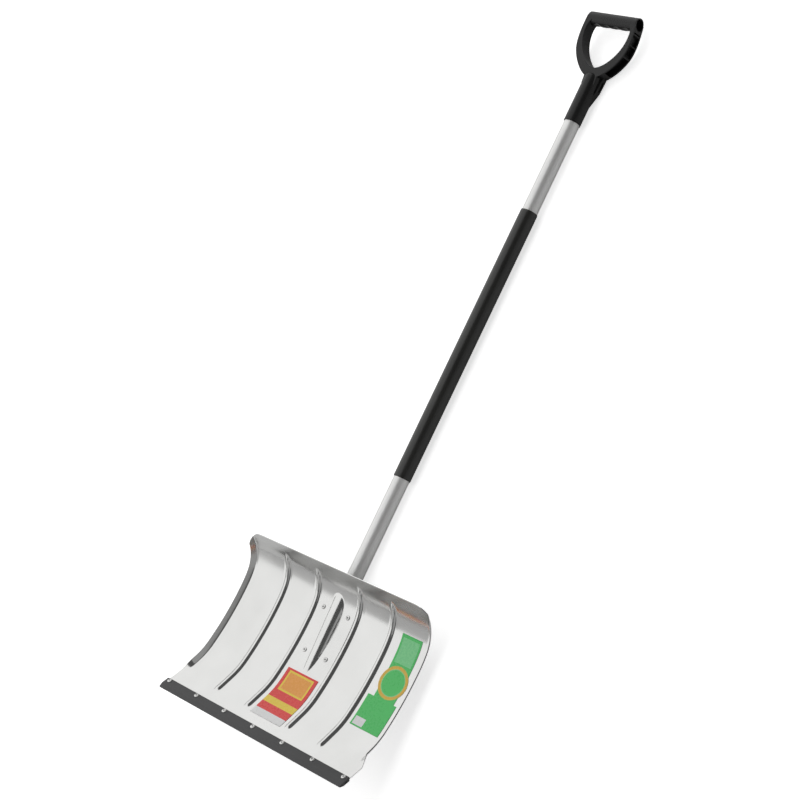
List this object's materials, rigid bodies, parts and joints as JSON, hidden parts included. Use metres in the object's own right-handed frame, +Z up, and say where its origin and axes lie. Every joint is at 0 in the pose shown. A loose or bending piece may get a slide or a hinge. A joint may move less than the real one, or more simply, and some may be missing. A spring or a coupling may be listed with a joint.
{
  "type": "snow shovel",
  "caption": "Snow shovel with a ribbed concave aluminium blade, riveted plastic wear strip, round aluminium handle, sleeve and forward-leaning D-grip.",
  "frame": {"origin": "middle of the bounding box at floor level, the shovel lying on its back", "axes": "+X across the blade, +Y along the handle from the wear strip to the D-grip, +Z up, out of the blade's hollow"},
  "size_m": [0.5, 1.538, 0.1044],
  "materials": {
    "sheet": "satin rolled sheet",
    "tube": "satin drawn tube",
    "rivet": "smooth",
    "pin": "dull broken end",
    "strip": "matt moulded",
    "sleeve": "satin shrunk film",
    "grip": "semi-gloss moulded",
    "red_label": "printed film, blank",
    "green_label": "printed film, blank"
  },
  "bodies": {
    "root": {"blade": "sheet", "wear_strip": "strip", "bracket": "sheet", "handle_tube": "tube", "sleeve": "sleeve", "d_grip": "grip", "edge_rivet_1": "rivet", "edge_rivet_2": "rivet", "edge_rivet_3": "rivet", "edge_rivet_4": "rivet", "edge_rivet_5": "rivet", "edge_rivet_6": "rivet", "edge_rivet_7": "rivet", "bracket_rivet_lower_left": "rivet", "bracket_rivet_lower_right": "rivet", "bracket_rivet_upper_left": "rivet", "bracket_rivet_upper_right": "rivet", "edge_rivet_1_pin": "pin", "edge_rivet_2_pin": "pin", "edge_rivet_3_pin": "pin", "edge_rivet_4_pin": "pin", "edge_rivet_5_pin": "pin", "edge_rivet_6_pin": "pin", "edge_rivet_7_pin": "pin", "bracket_rivet_lower_left_pin": "pin", "bracket_rivet_lower_right_pin": "pin", "bracket_rivet_upper_left_pin": "pin", "bracket_rivet_upper_right_pin": "pin", "centre_label": "red_label", "side_label": "green_label"}
  },
  "joints": []
}
